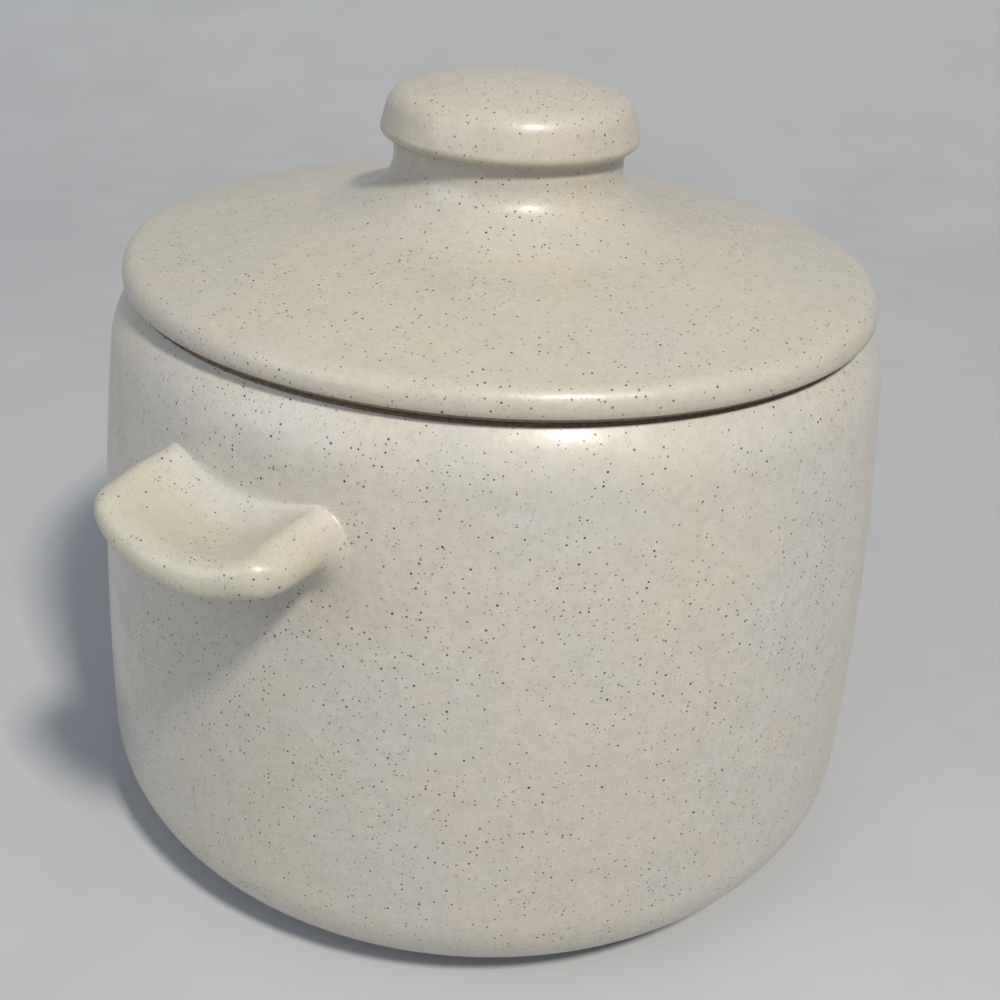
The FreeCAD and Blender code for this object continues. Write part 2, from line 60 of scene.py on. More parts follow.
# The pot
BASE_CORNER = 20 * MM
SIDE_CURVE = 705 * MM
SHOULDER_HEIGHT = 113.9 * MM
RIM_RADIUS = 77 * MM
RIM_LAND = 5 * MM
RIM_EDGE = 0.6 * MM
MOUTH_ROUND = 1.0 * MM
POT_WALL = 6 * MM
POT_FLOOR = 7 * MM
CAVITY_CORNER = 16 * MM
FOOT_RADIUS = 64 * MM
FOOT_WIDTH = 9 * MM
FOOT_STEP = 1.2 * MM
FOOT_RECESS = 2 * MM
FOOT_EDGE = 0.6 * MM

# How far below the rim the glaze ends and the rim's corner begins, in radians along the shoulder's
# arc. The bare band below the rim is partly the real unglazed rim and partly painted shade for the
# gap under the lid's edge
GLAZE_END = 0.11
RIM_CORNER = 0.03

# The lid, its knob and its locating ring. LIP_HEIGHT is above the seat.
LID_RADIUS = 80.5 * MM
LID_BEVEL = 0.8 * MM
LID_EDGE_ROUND = 4 * MM
LID_SIDE = 2.1 * MM
LID_WALL = 6 * MM
DOME_CURVE = 330 * MM
CEILING_ROUND = 4 * MM
NECK_RADIUS = 24.3 * MM
NECK_TURN = 7 * MM
NECK_SWEEP = 32 * MM
NECK_SLOPE = math.radians(40)
LIP_ROUND = 1.7 * MM
LIP_HEIGHT = 30.7 * MM
KNOB_TAPER = 1.0 * MM
KNOB_ROUND = 5.5 * MM
KNOB_CROWN = 77 * MM
RING_RADIUS = 70.5 * MM
RING_INNER = 64.5 * MM
RING_ROUND = 2 * MM
RING_BEVEL = 0.8 * MM

# The lugs in plan, the height of their top in the middle, and their depth there
LUG_HALF_WIDTH = 21.7 * MM
LUG_BOW = 45 * MM
LUG_CORNER = 7 * MM
LUG_TOP = 102.7 * MM
LUG_DEPTH = 8 * MM

# How far out from the wall a lug's blends reach, and how far they spread on the wall
LUG_ROOT = 6 * MM
LOWER_ROOT = 1.5 * LUG_ROOT
UPPER_BLEND = 5.0 * MM
LOWER_BLEND = 6.6 * MM
SIDE_BLEND = 1.6 * MM

# How far a lug's top and bottom rise towards its outer edge, then where the rise starts
# and how long it is, as shares of the way out
TOP_RISE = (1.0 * MM, 0.35, 0.55)
BOTTOM_RISE = (1.1 * MM, 0.4, 0.6)

# A lug's ends: how far they stand over its top at the wall and how much of that they lose
# on the way out, how far they lift its underside, where along the lug they are fully up,
# and how round they are
END_HEIGHT = 6.2 * MM
END_FALL = 2.8 * MM
END_FALL_POWER = 1.4
END_ARCH = 3.0 * MM
END_REACH = 16.5 * MM
END_POWER = 2.2
END_ROUND = 6.5 * MM

# How far a lug's outer edge is rounded in, the share of its thickness that the round takes
# up, and the slope of the whole lug, whose one end sits higher
LUG_RIM = 4.0 * MM
LUG_RIM_SHARE = 0.94
LUG_ROLL = 0.05

# Mesh density, and the heights between which the wall has one row for each row of a lug
COLUMNS = 256
LUG_COLUMNS = 28
LUG_ROWS = 14
LUG_ZONE = (85 * MM, 113 * MM)
SHEET_STEPS = 8
ROOT_STEPS = 7
REACH_STEPS = 5
TIP_STEPS = 7
WALL_STEPS = 26
TINY = 1e-6


def on_circle(centre, radius, angle):
    return centre[0] + radius * math.cos(angle), centre[1] + radius * math.sin(angle)


def arc(centre, radius, first, last, steps):
    """Points along an arc between two angles in radians, both ends included."""
    return [on_circle(centre, radius, first + (last - first) * i / steps)
            for i in range(steps + 1)]


def leg(long_side, short_side):
    """The other leg of a right triangle."""
    return math.sqrt(long_side ** 2 - short_side ** 2)


def straight(start, end, steps):
    """Points after start up to and including end."""
    return [(start[0] + (end[0] - start[0]) * i / steps,
             start[1] + (end[1] - start[1]) * i / steps) for i in range(1, steps + 1)]


def ease(t):
    return t * t * (3 - 2 * t)


# The pot's outer wall, the same three tangent arcs as the CAD wall
corner_centre = (BELLY_RADIUS - BASE_CORNER, FOOT_STEP + BASE_CORNER)
side_centre = (BELLY_RADIUS - SIDE_CURVE, corner_centre[1])
side_end = math.asin((SHOULDER_HEIGHT - side_centre[1]) / SIDE_CURVE)
shoulder_start = on_circle(side_centre, SIDE_CURVE, side_end)
to_rim = (shoulder_start[0] - RIM_RADIUS, shoulder_start[1] - RIM_HEIGHT)
along_normal = to_rim[0] * math.cos(side_end) + to_rim[1] * math.sin(side_end)
shoulder_curve = (to_rim[0] ** 2 + to_rim[1] ** 2) / 2 / along_normal
shoulder_centre = on_circle(shoulder_start, -shoulder_curve, side_end)
rim_angle = math.atan2(RIM_HEIGHT - shoulder_centre[1], RIM_RADIUS - shoulder_centre[0])


def wall_radius(height):
    """The pot's outer radius at a height on its side or shoulder."""
    if height <= SHOULDER_HEIGHT:
        return side_centre[0] + leg(SIDE_CURVE, height - side_centre[1])
    return shoulder_centre[0] + leg(shoulder_curve, height - shoulder_centre[1])


# How far a lug stands out from the wall
LUG_TOTAL = LUG_REACH - wall_radius(LUG_TOP)


def revolve(profile, skip=()):
    """Vertices, faces and rows of vertices of a profile turned about Z. Each face comes with
    its row's number. Points on the axis stay one vertex. skip holds (row, column) faces to
    leave out."""
    turns = [2 * math.pi * c / COLUMNS for c in range(COLUMNS)]
    verts, rows = [], []
    for r, z in profile:
        if r < TINY:
            rows.append([len(verts)])
            verts.append((0, 0, z))
        else:
            rows.append(list(range(len(verts), len(verts) + COLUMNS)))
            verts += [(r * math.cos(turn), r * math.sin(turn), z) for turn in turns]
    faces = []
    for row, (below, above) in enumerate(zip(rows, rows[1:])):
        for c in range(COLUMNS):
            if (row, c) in skip:
                continue
            d = (c + 1) % COLUMNS
            corners = [below[c % len(below)], below[d % len(below)],
                       above[d % len(above)], above[c % len(above)]]
            faces.append((row, list(dict.fromkeys(corners))))
    return verts, faces, rows


def blend(out, reach):
    """How much of a quarter-round blend is left at a distance out from the wall."""
    root = max(0, 1 - out / reach)
    return 1 - math.sqrt(max(0, 1 - root ** 2))


def rise(along, height, start, length):
    """How far a lug's top or bottom has risen at a share of the way out."""
    return height * ease(max(0, min(1, (along - start) / length)))


def lug_section(out):
    """Half width of a lug's section at a distance out from the wall, the top and bottom
    height in its middle, and the height of its raised ends."""
    along = out / LUG_TOTAL
    upper, lower = blend(out, LUG_ROOT), blend(out, LOWER_ROOT)
    half = LUG_HALF_WIDTH + SIDE_BLEND * upper
    top = LUG_TOP + UPPER_BLEND * upper + rise(along, *TOP_RISE)
    bottom = LUG_TOP - LUG_DEPTH - LOWER_BLEND * lower + rise(along, *BOTTOM_RISE)
    ends = LUG_TOP + END_HEIGHT - END_FALL * ease(along ** END_FALL_POWER)
    return half, top, bottom, ends


def lug_loop(half, top, bottom, shrink):
    """Points (y, z) round a section: LUG_COLUMNS along the bottom and the top, LUG_ROWS round
    each end. It starts at the low left corner and runs anticlockwise seen from outside."""
    middle, thick = (top + bottom) / 2, (top - bottom) / 2
    flat = half - END_ROUND
    half_height = thick - shrink
    end_reach = END_ROUND - shrink * END_ROUND / thick
    points = []
    for way in (1, -1):
        for i in range(LUG_COLUMNS):
            points.append((way * (-flat + 2 * flat * i / LUG_COLUMNS), middle - way * half_height))
        for i in range(LUG_ROWS):
            turn = -way * math.pi / 2 + math.pi * i / LUG_ROWS
            points.append((way * flat + end_reach * math.cos(turn),
                           middle + half_height * math.sin(turn)))
    return points


def lug_edge(y):
    """How far from the pot's axis a lug's outer edge lies: a bow with rounded corners."""
    corner_y = LUG_HALF_WIDTH - LUG_CORNER
    corner_x = LUG_REACH - LUG_BOW + leg(LUG_BOW - LUG_CORNER, corner_y)
    turn_y = corner_y + LUG_CORNER * corner_y / (LUG_BOW - LUG_CORNER)
    if abs(y) <= turn_y:
        return LUG_REACH - LUG_BOW + leg(LUG_BOW, y)
    return corner_x + leg(LUG_CORNER, min(abs(y), LUG_HALF_WIDTH) - corner_y)


def lug_point(y, z, out, section):
    """A point of a lug on +X: ends raised, outer edge bowed, its root following the wall."""
    _, top, bottom, ends = section
    level = (z - bottom) / (top - bottom)
    end_share = min(1, abs(y) / END_REACH) ** END_POWER
    lift = max(0, ends - top) * level + END_ARCH * (1 - level)
    height = z + end_share * lift - LUG_ROLL * y
    wall_x = leg(wall_radius(height), y)
    stretch = (lug_edge(y) - wall_x) / LUG_TOTAL - 1
    return wall_x + out * (1 + stretch * ease(min(1, out / LUG_ROOT))), y, height


def lug_rings():
    """The rings of a lug on +X from its footprint on the wall to its tip."""
    def ring(out, section, shrink=0):
        return [lug_point(y, z, out, section) for y, z in lug_loop(*section[:3], shrink)]

    rim_start = LUG_TOTAL - LUG_RIM
    outs = [LUG_ROOT * (1 - math.cos(math.pi / 2 * i / ROOT_STEPS))
            for i in range(ROOT_STEPS + 1)]
    outs += [LUG_ROOT + (rim_start - LUG_ROOT) * i / REACH_STEPS
             for i in range(1, REACH_STEPS + 1)]
    rings = [ring(out, lug_section(out)) for out in outs]
    section = lug_section(rim_start)
    thick = (section[1] - section[2]) / 2
    for i in range(1, TIP_STEPS + 1):
        turn = math.pi / 2 * i / TIP_STEPS
        shrink = thick * LUG_RIM_SHARE * (1 - math.cos(turn))
        rings.append(ring(rim_start + LUG_RIM * math.sin(turn), section, shrink))
    return rings


def close_tip(faces, ring, kind):
    """Fill the narrow slot that is left in the middle of a lug's tip."""
    top_start = LUG_COLUMNS + LUG_ROWS
    bottom = ring[:LUG_COLUMNS + 1]
    top = ring[top_start:top_start + LUG_COLUMNS + 1][::-1]
    for i in range(LUG_COLUMNS):
        faces.append((kind, [bottom[i], bottom[i + 1], top[i + 1], top[i]]))
    right = ring[LUG_COLUMNS:top_start + 1]
    left = ring[top_start + LUG_COLUMNS:] + ring[:1]
    middle = LUG_ROWS // 2
    for end in (right, left):
        for i in range(middle - 1):
            faces.append((kind, [end[i], end[i + 1], end[LUG_ROWS - 1 - i], end[LUG_ROWS - i]]))
        faces.append((kind, [end[middle - 1], end[middle], end[middle + 1]]))


def add_lug(verts, faces, hole, side, kind):
    """Join a lug to the rim of its hole in the wall. side is 1 for +X and -1 for -X."""
    rings = lug_rings()
    border = [(verts[i][1] * side, verts[i][2]) for i in hole]
    sheet = []
    for step in range(1, SHEET_STEPS + 1):
        ring = []
        for (from_y, from_z), (_, to_y, to_z) in zip(border, rings[0]):
            y = from_y + (to_y - from_y) * step / SHEET_STEPS
            z = from_z + (to_z - from_z) * step / SHEET_STEPS
            ring.append((leg(wall_radius(z), y), y, z))
        sheet.append(ring)
    previous = hole
    for ring in sheet + rings[1:]:
        current = list(range(len(verts), len(verts) + len(ring)))
        verts += [(side * x, side * y, z) for x, y, z in ring]
        for i in range(len(current)):
            j = (i + 1) % len(current)
            faces.append((kind, [previous[i], previous[j], current[j], current[i]]))
        previous = current
    close_tip(faces, previous, kind)


def make_mesh(name, verts, faces, materials, body, replaced):
    """A smooth mesh piece whose faces carry a material number, riding on a CAD body."""
    mesh = bpy.data.meshes.new(name)
    mesh.from_pydata([Vector(v) for v in verts], [], [corners for _, corners in faces])
    for material in materials:
        mesh.materials.append(material)
    for polygon, (number, _) in zip(mesh.polygons, faces):
        polygon.material_index = number
        polygon.use_smooth = True
    mesh.validate()
    mesh.update()
    piece = bpy.data.objects.new(name, mesh)
    bpy.context.scene.collection.objects.link(piece)
    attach(piece, body)
    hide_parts(*replaced)
    return piece


# Face kinds, which are also material numbers
GLAZE, CLAY = 0, 1


def chain(*stretches):
    """Join stretches of profile points, each with the kind of surface that it makes."""
    points, kinds = [], []
    for kind, stretch in stretches:
        for point in stretch:
            if points and math.dist(points[-1], point) < TINY:
                continue
            if points:
                kinds.append(kind)
            points.append(point)
    return points, kinds


def pot_profile():
    """The pot from the middle of its underside out, up the wall, over the rim and inside to
    the middle of the floor."""
    foot_inner = FOOT_RADIUS - FOOT_WIDTH
    foot_in, foot_out = foot_inner + FOOT_EDGE, FOOT_RADIUS - FOOT_EDGE
    recess_edge = (foot_inner - FOOT_EDGE, FOOT_RECESS)
    foot_corner = (FOOT_RADIUS + FOOT_EDGE, FOOT_STEP)
    zone_low, zone_high = LUG_ZONE
    lower = [corner_centre[1] + (zone_low - corner_centre[1]) * i / WALL_STEPS
             for i in range(1, WALL_STEPS + 1)]
    zone = [zone_low + (zone_high - zone_low) * i / LUG_ROWS for i in range(LUG_ROWS + 1)]
    glaze_end, rim_corner = rim_angle - GLAZE_END, rim_angle - RIM_CORNER
    rim_edge = (RIM_RADIUS - RIM_EDGE, RIM_HEIGHT)
    mouth = RIM_RADIUS - RIM_LAND
    mouth_centre = (mouth + MOUTH_ROUND, RIM_HEIGHT - MOUTH_ROUND)
    shoulder_in = shoulder_curve - POT_WALL
    mouth_angle = math.acos((mouth - shoulder_centre[0]) / shoulder_in)
    side_in = SIDE_CURVE - POT_WALL
    floor_top = FOOT_RECESS + POT_FLOOR
    corner_reach = side_in - CAVITY_CORNER
    corner_angle = math.asin((floor_top + CAVITY_CORNER - side_centre[1]) / corner_reach)
    corner_in = on_circle(side_centre, corner_reach, corner_angle)
    down, up = -math.pi / 2, math.pi / 2
    return chain(
        (CLAY, [(0, FOOT_RECESS)] + straight((0, FOOT_RECESS), recess_edge, 12)),
        (CLAY, straight(recess_edge, (foot_inner, FOOT_EDGE), 3)),
        (CLAY, arc((foot_in, FOOT_EDGE), FOOT_EDGE, math.pi, 1.5 * math.pi, 4)),
        (CLAY, straight((foot_in, 0), (foot_out, 0), 4)),
        (CLAY, arc((foot_out, FOOT_EDGE), FOOT_EDGE, down, 0, 4)),
        (CLAY, straight((FOOT_RADIUS, FOOT_EDGE), foot_corner, 2)),
        (CLAY, straight(foot_corner, (corner_centre[0], FOOT_STEP), 3)),
        (GLAZE, arc(corner_centre, BASE_CORNER, down, 0, 24)),
        (GLAZE, [(wall_radius(z), z) for z in lower + zone]),
        (GLAZE, arc(shoulder_centre, shoulder_curve, side_end, glaze_end, 16)),
        # Bare clay down the shoulder under the lid's edge: partly the real unglazed rim, partly
        # painted shade in the gap
        (CLAY, arc(shoulder_centre, shoulder_curve, glaze_end, rim_corner, 3)),
        (CLAY, [rim_edge] + straight(rim_edge, (mouth_centre[0], RIM_HEIGHT), 4)),
        (GLAZE, arc(mouth_centre, MOUTH_ROUND, up, math.pi, 6)),
        (GLAZE, arc(shoulder_centre, shoulder_in, mouth_angle, side_end, 10)),
        (GLAZE, arc(side_centre, side_in, side_end, corner_angle, 30)),
        (GLAZE, arc(corner_in, CAVITY_CORNER, corner_angle, down, 14)),
        (GLAZE, straight((corner_in[0], floor_top), (0, floor_top), 16)),
    )


def make_pot(materials):
    profile, kinds = pot_profile()
    zone_start = (wall_radius(LUG_ZONE[0]), LUG_ZONE[0])
    first_row = min(range(len(profile)), key=lambda i: math.dist(profile[i], zone_start))
    last_row = first_row + LUG_ROWS
    skip, holes = set(), []
    for middle in (0, COLUMNS // 2):
        start = middle - LUG_COLUMNS // 2
        columns = [(start + i) % COLUMNS for i in range(LUG_COLUMNS + 1)]
        skip |= {(row, c) for row in range(first_row, last_row) for c in columns[:-1]}
        holes.append(columns)
    verts, faces, rows = revolve(profile, skip)
    faces = [(kinds[row], corners) for row, corners in faces]
    for side, columns in zip((1, -1), holes):
        border = [rows[first_row][c] for c in columns[:-1]]
        border += [rows[row][columns[-1]] for row in range(first_row, last_row)]
        border += [rows[last_row][c] for c in columns[:0:-1]]
        border += [rows[row][columns[0]] for row in range(last_row, first_row, -1)]
        add_lug(verts, faces, border, side, GLAZE)
    replaced = ["pot_body", "left_handle", "right_handle"]
    return make_mesh("pot_skin", verts, faces, materials, "pot", replaced)


def lid_profile():
    """The lid from the middle of its underside out over the locating ring and the bevelled
    edge, then over the dome, the neck and the knob."""
    seat = RIM_HEIGHT
    edge_centre = (LID_RADIUS - LID_EDGE_ROUND, seat + LID_SIDE)
    dome_z = edge_centre[1] - leg(DOME_CURVE - LID_EDGE_ROUND, edge_centre[0])
    edge_angle = math.atan2(edge_centre[1] - dome_z, edge_centre[0])

    # The neck: a wide sweep off the dome, then a tight turn up into the knob's stem
    widen = NECK_SWEEP - NECK_TURN
    turn_x = NECK_RADIUS + NECK_TURN
    sweep_x = turn_x + widen * math.sin(NECK_SLOPE)
    sweep_centre = (sweep_x, dome_z + leg(DOME_CURVE + NECK_SWEEP, sweep_x))
    sweep_angle = math.atan2(sweep_centre[1] - dome_z, sweep_x)
    turn_centre = (turn_x, sweep_centre[1] - widen * math.cos(NECK_SLOPE))
    slope_angle = 1.5 * math.pi - NECK_SLOPE

    # The knob: its undercut, its lip, its tapered side and its crown
    lip = (KNOB_RADIUS - LIP_ROUND, seat + LIP_HEIGHT)
    undercut = lip[0] - NECK_RADIUS
    under_z = lip[1] - LIP_ROUND - undercut
    crown_z = KNOB_TOP - KNOB_CROWN
    round_x = KNOB_RADIUS - KNOB_TAPER - KNOB_ROUND
    round_centre = (round_x, crown_z + leg(KNOB_CROWN - KNOB_ROUND, round_x))
    gap = (round_centre[0] - lip[0], round_centre[1] - lip[1])
    side = math.atan2(gap[1], gap[0]) - math.acos((LIP_ROUND - KNOB_ROUND) / math.hypot(*gap))
    crown_angle = math.atan2(round_centre[1] - crown_z, round_x)

    # The underside and the locating ring
    inner_curve = DOME_CURVE - LID_WALL
    ceiling_x = RING_INNER - CEILING_ROUND
    inner_top = dome_z + leg(inner_curve, ceiling_x)
    inner_angle = math.atan2(inner_top - dome_z, ceiling_x)
    ceiling_z = inner_top - CEILING_ROUND
    ring_low = RING_BOTTOM + RING_ROUND
    inner_low = (RING_INNER + RING_ROUND, ring_low)
    outer_low = (RING_RADIUS - RING_ROUND, ring_low)
    ring_top = (RING_RADIUS, seat - RING_BEVEL)
    seat_start = (RING_RADIUS + RING_BEVEL, seat)
    seat_end = (LID_RADIUS - LID_BEVEL, seat)
    down, up = -math.pi / 2, math.pi / 2
    return chain(
        (GLAZE, arc((0, dome_z), inner_curve, up, inner_angle, 18)),
        (GLAZE, arc((ceiling_x, ceiling_z), CEILING_ROUND, inner_angle, 0, 6)),
        (CLAY, straight((RING_INNER, ceiling_z), (RING_INNER, ring_low), 5)),
        (CLAY, arc(inner_low, RING_ROUND, math.pi, 1.5 * math.pi, 6)),
        (CLAY, arc(outer_low, RING_ROUND, down, 0, 6)),
        (CLAY, straight((RING_RADIUS, ring_low), ring_top, 4)),
        (CLAY, straight(ring_top, seat_start, 1)),
        (CLAY, straight(seat_start, seat_end, 5)),
        (CLAY, straight(seat_end, (LID_RADIUS, seat + LID_BEVEL), 2)),
        (GLAZE, arc(edge_centre, LID_EDGE_ROUND, 0, edge_angle, 10)),
        (GLAZE, arc((0, dome_z), DOME_CURVE, edge_angle, sweep_angle, 24)),
        (GLAZE, arc(sweep_centre, NECK_SWEEP, sweep_angle + math.pi, slope_angle, 12)),
        (GLAZE, arc(turn_centre, NECK_TURN, slope_angle, math.pi, 8)),
        (GLAZE, straight((NECK_RADIUS, turn_centre[1]), (NECK_RADIUS, under_z), 3)),
        (GLAZE, arc((NECK_RADIUS + undercut, under_z), undercut, math.pi, up, 6)),
        (GLAZE, arc(lip, LIP_ROUND, down, side, 8)),
        (GLAZE, arc(round_centre, KNOB_ROUND, side, crown_angle, 10)),
        (GLAZE, arc((0, crown_z), KNOB_CROWN, crown_angle, up, 12)),
    )


def make_lid(materials):
    profile, kinds = lid_profile()
    verts, faces, _ = revolve(profile)
    faces = [(kinds[row], corners) for row, corners in faces]
    replaced = ["lid", "lid_knob", "lid_locating_ring"]
    return make_mesh("lid_skin", verts, faces, materials, "lid", replaced)


class Nodes:
    """A short way to write a material's node tree."""

    def __init__(self, name):
        self.material = bpy.data.materials.new(name)
        self.material.use_nodes = True
        self.tree = self.material.node_tree
        self.shader = self.tree.nodes["Principled BSDF"]
        self.place = self.tree.nodes.new("ShaderNodeTexCoord").outputs["Object"]

    def add(self, kind, inputs=None, output=0, **settings):
        node = self.tree.nodes.new(kind)
        for key, value in settings.items():
            setattr(node, key, value)
        for key, value in (inputs or {}).items():
            self.set(node.inputs[key], value)
        return node.outputs[output]

    def set(self, socket, value):
        if isinstance(value, bpy.types.NodeSocket):
            self.tree.links.new(value, socket)
        else:
            socket.default_value = value

    def finish(self, **inputs):
        """Set the shader's sockets, written with _ for a space, and give the material."""
        for key, value in inputs.items():
            self.set(self.shader.inputs[key.replace("_", " ")], value)
        return self.material

    def noise(self, size, detail=3, rough=0.5, warp=0):
        inputs = {"Vector": self.place, "Scale": 1 / size, "Detail": detail,
                  "Roughness": rough, "Distortion": warp}
        return self.add("ShaderNodeTexNoise", inputs)

    def spots(self, cell):
        """Distance to a random centre in cells of this size, and the cell's random colour."""
        node = self.tree.nodes.new("ShaderNodeTexVoronoi")
        self.set(node.inputs["Vector"], self.place)
        node.inputs["Scale"].default_value = 1 / cell
        return node.outputs["Distance"], node.outputs["Color"]

    def math(self, operation, *values, clamp=False):
        return self.add("ShaderNodeMath", dict(enumerate(values)), operation=operation,
                        use_clamp=clamp)

    def span(self, value, low, high, to_low=0.0, to_high=1.0, kind="SMOOTHSTEP"):
        """A value between low and high taken to a number between to_low and to_high."""
        inputs = {"Value": value, "From Min": low, "From Max": high,
                  "To Min": to_low, "To Max": to_high}
        return self.add("ShaderNodeMapRange", inputs, interpolation_type=kind)

    def mix(self, factor, first, second):
        node = self.tree.nodes.new("ShaderNodeMix")
        node.data_type = "RGBA"
        self.set(node.inputs[0], factor)
        self.set(node.inputs[6], first)
        self.set(node.inputs[7], second)
        return node.outputs[2]

    def bump(self, height, distance, normal=None):
        inputs = {"Height": height, "Distance": distance, "Strength": 1.0}
        if normal:
            inputs["Normal"] = normal
        return self.add("ShaderNodeBump", inputs)


def colour(red, green, blue):
    """A colour as it is seen on screen, 0 to 255, turned into linear light."""
    def linear(value):
        value /= 255
        return value / 12.92 if value <= 0.04045 else ((value + 0.055) / 1.055) ** 2.4
    return linear(red), linear(green), linear(blue), 1.0


# Tints that drift over the cream, then the specks' browns
ROSE = colour(198, 174, 160)
SAGE = colour(180, 182, 160)
OCHRE = colour(184, 178, 148)
CLOUD_GREY = colour(160, 152, 138)
GRAIN_GREY = colour(146, 140, 128)
FAINT_BROWN = colour(128, 120, 108)
SMALL_BROWN = colour(76, 69, 62)
BIG_BROWN = colour(50, 45, 42)
# Bare clay browns, darker than the fired clay itself: partly the real unglazed clay, partly
# painted shade for the dark gap under the lid's edge
DARK_CLAY_AND_GAP_SHADE = colour(108, 92, 76)
PALE_CLAY = colour(138, 121, 101)
GROG_BROWN = colour(86, 74, 64)


def speck_layer(nodes, cell, share, small, large, soft):
    """Round specks: share of the cells hold one, with a radius between small and large.
    Gives their mask and a number that is random for each speck."""
    distance, random_colour = nodes.spots(cell)
    parts = nodes.tree.nodes.new("ShaderNodeSeparateColor")
    nodes.set(parts.inputs["Color"], random_colour)
    radius = nodes.math("MULTIPLY_ADD", parts.outputs["Green"], (large - small) / cell,
                        small / cell)
    ragged = nodes.math("MULTIPLY_ADD", nodes.noise(cell * 0.35, 2), 0.5 * small / cell,
                        -0.25 * small / cell)
    depth = nodes.math("SUBTRACT", nodes.math("ADD", radius, ragged), distance)
    mask = nodes.math("DIVIDE", depth, soft / cell, clamp=True)
    present = nodes.math("LESS_THAN", parts.outputs["Red"], share)
    return nodes.math("MULTIPLY", mask, present), parts.outputs["Blue"]


def make_glaze(name, base, warm, cool, speck_share):
    """Satin cream glaze: slow mottling, iron specks in clusters, and a faintly uneven skin."""
    nodes = Nodes(name)
    place = nodes.tree.nodes.new("ShaderNodeSeparateXYZ")
    nodes.set(place.inputs[0], nodes.place)

    # Cool and warm drifts with rosy and green ones over them, held back towards the base
    tint = nodes.mix(nodes.span(nodes.noise(38 * MM, 3, 0.55, 0.6), 0.36, 0.66), cool, warm)
    rosy = nodes.span(nodes.noise(17 * MM, 3, 0.6), 0.50, 0.76, 0, 0.34)
    green = nodes.span(nodes.noise(23 * MM, 2, 0.5, 1.0), 0.52, 0.78, 0, 0.34)
    tint = nodes.mix(0.45, base, nodes.mix(green, nodes.mix(rosy, tint, ROSE), SAGE))

    # Yellower on the lugs, then fine clouds and grain
    out_on_lug = nodes.span(nodes.math("ABSOLUTE", place.outputs[0]), 86 * MM, 94 * MM, 0, 0.45)
    cloud = nodes.span(nodes.noise(4.5 * MM, 4, 0.65), 0.3, 0.75, 0.0, 0.20)
    grain = nodes.span(nodes.noise(1.5 * MM, 3, 0.6), 0.35, 0.72, 0.0, 0.15)
    for amount, over in ((out_on_lug, OCHRE), (cloud, CLOUD_GREY), (grain, GRAIN_GREY)):
        tint = nodes.mix(amount, tint, over)

    # Specks, in clusters and more of them low on the pot
    clusters = nodes.span(nodes.noise(26 * MM, 3, 0.6), 0.30, 0.72, 0.45, 1.5)
    lower = nodes.span(place.outputs[2], 30 * MM, 118 * MM, 1.25, 0.8)
    share = nodes.math("MULTIPLY", nodes.math("MULTIPLY", clusters, lower), speck_share)
    faint, _ = speck_layer(nodes, 2.4 * MM, 0.45, 0.3 * MM, 0.8 * MM, 0.6 * MM)
    small, small_hue = speck_layer(nodes, 0.62 * MM, share, 0.05 * MM, 0.17 * MM, 0.07 * MM)
    big, big_hue = speck_layer(nodes, 1.15 * MM, share, 0.09 * MM, 0.30 * MM, 0.09 * MM)
    for mask, strength, over in ((faint, 0.18, FAINT_BROWN),
                                 (small, nodes.span(small_hue, 0, 1, 0.35, 0.8), SMALL_BROWN),
                                 (big, nodes.span(big_hue, 0, 1, 0.5, 1.0), BIG_BROWN)):
        tint = nodes.mix(nodes.math("MULTIPLY", mask, strength), tint, over)

    # A fine orange-peel skin, a slower unevenness, and the big specks slightly sunk
    skin = nodes.bump(nodes.noise(3.2 * MM, 3, 0.55), 0.10 * MM)
    skin = nodes.bump(nodes.noise(16 * MM, 2, 0.5), 0.5 * MM, skin)
    skin = nodes.bump(nodes.math("MULTIPLY", big, -1), 0.05 * MM, skin)
    rough = nodes.span(nodes.noise(9 * MM, 3), 0.3, 0.7, 0.35, 0.44)
    return nodes.finish(Base_Color=tint, Roughness=rough, IOR=1.5, Coat_Weight=0.35,
                        Coat_Roughness=0.13, Normal=skin)


def make_clay():
    """Bare fired clay, a matte taupe with fine grog, darkened as painted shade for the gap under
    the lid's edge.
    """
    nodes = Nodes("bare_clay_and_gap_shade")
    grain = nodes.noise(0.9 * MM, 4, 0.7)
    tint = nodes.mix(nodes.span(grain, 0.35, 0.68), DARK_CLAY_AND_GAP_SHADE, PALE_CLAY)
    grog, _ = speck_layer(nodes, 1.3 * MM, 0.5, 0.1 * MM, 0.3 * MM, 0.1 * MM)
    tint = nodes.mix(nodes.math("MULTIPLY", grog, 0.6), tint, GROG_BROWN)
    return nodes.finish(Base_Color=tint, Roughness=0.85, Normal=nodes.bump(grain, 0.12 * MM))


# The camera stands where the photograph was taken from, with the near lug to its left
CAMERA_BEARING = math.radians(-59)
CAMERA_ELEVATION = math.radians(27.95)
CAMERA_ROLL = math.radians(3.582)
CAMERA_DISTANCE = 313.1 * MM
CAMERA_AIM = (2.67 * MM, 0, 69.3 * MM)
SENSOR = 36.0
FOCAL_PIXELS = 1300
IMAGE_PIXELS = 1000
LAMP_AIM = (0, 0, 0.09)


def from_camera_side(x, y, z):
    """A direction or place given with the camera in front, turned to the camera's bearing."""
    return Matrix.Rotation(CAMERA_BEARING, 3, "Z") @ Vector((x, y, z))


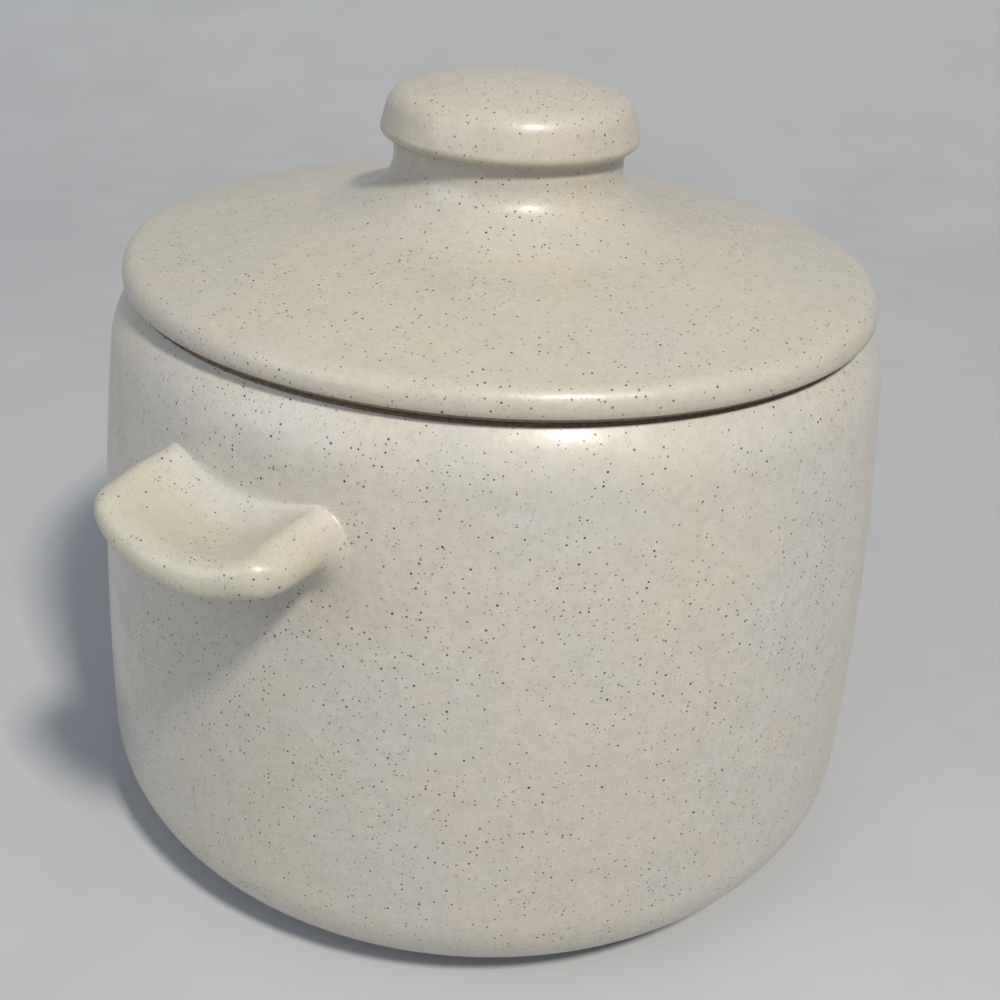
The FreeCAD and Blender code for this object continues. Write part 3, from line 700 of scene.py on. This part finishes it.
def make_camera():
    data = bpy.data.cameras.new("camera")
    data.sensor_width = SENSOR
    data.lens = SENSOR * FOCAL_PIXELS / IMAGE_PIXELS
    data.clip_start = 0.01
    camera = bpy.data.objects.new("camera", data)
    bpy.context.scene.collection.objects.link(camera)
    back = from_camera_side(0, -math.cos(CAMERA_ELEVATION), math.sin(CAMERA_ELEVATION))
    level_right = from_camera_side(1, 0, 0)
    level_up = from_camera_side(0, math.sin(CAMERA_ELEVATION), math.cos(CAMERA_ELEVATION))
    right = math.cos(CAMERA_ROLL) * level_right + math.sin(CAMERA_ROLL) * level_up
    up = -math.sin(CAMERA_ROLL) * level_right + math.cos(CAMERA_ROLL) * level_up
    turn = Matrix((right, up, back)).transposed().to_4x4()
    place = from_camera_side(*CAMERA_AIM) + back * CAMERA_DISTANCE
    camera.matrix_world = Matrix.Translation(place) @ turn
    bpy.context.scene.camera = camera


def make_lamp(name, bearing, elevation, distance, width, power, tint):
    """A square soft lamp. Its bearing is to the right of the camera, as seen from the pot."""
    bearing, elevation = math.radians(bearing), math.radians(elevation)
    way = from_camera_side(math.sin(bearing) * math.cos(elevation),
                           -math.cos(bearing) * math.cos(elevation), math.sin(elevation))
    data = bpy.data.lights.new(name, "AREA")
    data.size = width
    data.energy = power
    data.color = tint
    lamp = bpy.data.objects.new(name, data)
    bpy.context.scene.collection.objects.link(lamp)
    turn = way.to_track_quat("Z", "Y").to_matrix().to_4x4()
    lamp.matrix_world = Matrix.Translation(Vector(LAMP_AIM) + way * distance) @ turn


def make_stage():
    """A pale grey-blue floor that rises far off into a backdrop."""
    nodes = Nodes("stage_paper")
    depth = nodes.add("ShaderNodeVectorMath", {0: nodes.place, 1: from_camera_side(0, 1, 0)}, 1,
                      operation="DOT_PRODUCT")
    # The floor's tint runs from darker near the camera to paler far off: painted shade near and
    # painted light far
    near_painted_shade_tint, far_painted_light_tint, mottle_tint = (colour(173, 175, 178), colour(207, 208, 207),
                                        colour(150, 150, 152))
    tint = nodes.mix(nodes.span(depth, -0.25, 0.9, kind="LINEAR"), near_painted_shade_tint, far_painted_light_tint)
    mottle = nodes.span(nodes.noise(60 * MM, 4, 0.6), 0.35, 0.7, 0.0, 0.12)
    tint = nodes.mix(mottle, tint, mottle_tint)
    material = nodes.finish(Base_Color=tint, Roughness=0.95, Specular_IOR_Level=0.2)

    # The floor's near edge, its straight end, a quarter turn up and the backdrop's top edge
    half_width, near, far, top, rise, steps = 4.0, -2.0, 1.2, 3.0, 0.8, 16
    turns = [i * math.pi / 2 / steps for i in range(1, steps + 1)]
    line = [(near, 0), (far - rise, 0)]
    line += [(far - rise + rise * math.sin(t), rise - rise * math.cos(t)) for t in turns]
    line += [(far, top)]
    verts = [from_camera_side(x, y, z) for y, z in line for x in (-half_width, half_width)]
    faces = [(2 * i, 2 * i + 1, 2 * i + 3, 2 * i + 2) for i in range(len(line) - 1)]
    mesh = bpy.data.meshes.new("stage")
    mesh.from_pydata(verts, [], faces)
    mesh.materials.append(material)
    for polygon in mesh.polygons:
        polygon.use_smooth = True
    stage = bpy.data.objects.new("stage", mesh)
    bpy.context.scene.collection.objects.link(stage)


def make_world():
    world = bpy.data.worlds.new("world")
    world.use_nodes = True
    background = world.node_tree.nodes["Background"]
    background.inputs["Color"].default_value = (0.80, 0.86, 1.0, 1)
    background.inputs["Strength"].default_value = 0.36
    bpy.context.scene.world = world


clay = make_clay()
pot_glaze = make_glaze("pot_glaze", base=colour(191, 185, 172), warm=colour(196, 188, 172),
                       cool=colour(186, 186, 182), speck_share=1.15)
lid_glaze = make_glaze("lid_glaze", base=colour(186, 179, 163), warm=colour(190, 182, 162),
                       cool=colour(181, 178, 170), speck_share=0.95)
make_pot([pot_glaze, clay])
make_lid([lid_glaze, clay])
make_stage()
make_world()
make_camera()
make_lamp("key", bearing=28, elevation=51, distance=1.3, width=0.14, power=16,
          tint=(1.0, 0.955, 0.88))
make_lamp("window", bearing=-56, elevation=30, distance=1.4, width=0.9, power=4.5,
          tint=(0.86, 0.92, 1.0))
bpy.context.scene.view_settings.view_transform = "Standard"
